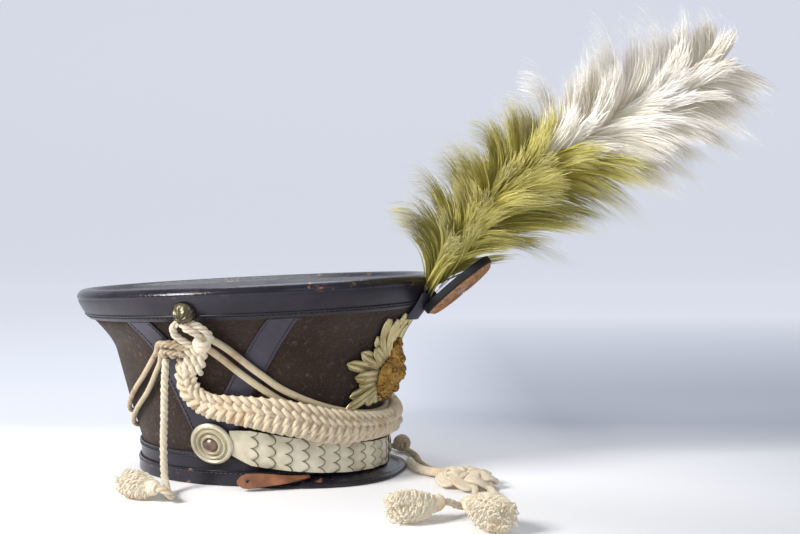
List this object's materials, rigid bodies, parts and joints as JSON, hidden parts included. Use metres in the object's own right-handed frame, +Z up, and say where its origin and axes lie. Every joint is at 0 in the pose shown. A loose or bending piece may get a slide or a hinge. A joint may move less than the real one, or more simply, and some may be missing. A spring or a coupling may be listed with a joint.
{
  "type": "shako hat",
  "caption": "Bell-topped felt and leather shako with visor, sunburst front plate, oval cockade, green and white feather plume, chin scales and braided cap lines with tassels.",
  "frame": {"origin": "on the surface the hat stands on, under the middle of the hat's own box, free cap lines left out", "axes": "+X to the front of the hat, +Y to the wearer's left, +Z up"},
  "size_m": [0.5714, 0.3366, 0.376],
  "materials": {
    "felt": "matt napped felt",
    "patent_leather": "worn gloss",
    "strap_leather": "matt",
    "tan_leather": "satin",
    "pale_brass": "aged satin",
    "gilt_brass": "aged satin",
    "silvered_brass": "worn silvering",
    "steel_wire": "dark satin",
    "black_cloth": "matt",
    "copper_silk": "sheen",
    "cream_cord": "matt wool",
    "green_feather": "soft feather",
    "white_feather": "soft feather"
  },
  "bodies": {
    "root": {"crown_wall": "felt", "crown_top": "patent_leather", "top_band": "patent_leather", "base_band": "patent_leather", "base_binding": "patent_leather", "chevron_right": "patent_leather", "chevron_left": "patent_leather", "peak": "patent_leather", "ray_plate": "pale_brass", "plate_badge": "gilt_brass", "plume_socket": "patent_leather", "plume_stem": "steel_wire", "cockade_back": "black_cloth", "cockade_face": "copper_silk", "plume_green": "green_feather", "plume_white": "white_feather", "chin_boss_right": "silvered_brass", "chin_boss_left": "silvered_brass", "chin_rivet_right": "gilt_brass", "chin_rivet_left": "gilt_brass", "chin_lining_right": "strap_leather", "chin_lining_left": "strap_leather", "chin_scales_right": "silvered_brass", "chin_scales_left": "silvered_brass", "chin_tie": "tan_leather", "button_right": "gilt_brass", "button_left": "gilt_brass", "knot_right": "cream_cord", "knot_left": "cream_cord", "wrap_right": "cream_cord", "wrap_left": "cream_cord", "plait": "cream_cord", "festoon_upper": "cream_cord", "festoon_lower": "cream_cord", "back_cord_upper": "cream_cord", "back_cord_lower": "cream_cord", "tail_cord": "cream_cord", "tassel_tail": "cream_cord", "front_cord_upper": "cream_cord", "front_cord_lower": "cream_cord", "slide": "cream_cord", "flounder": "cream_cord", "lead_a": "cream_cord", "lead_b": "cream_cord", "tassel_a": "cream_cord", "tassel_b": "cream_cord"}
  },
  "joints": []
}
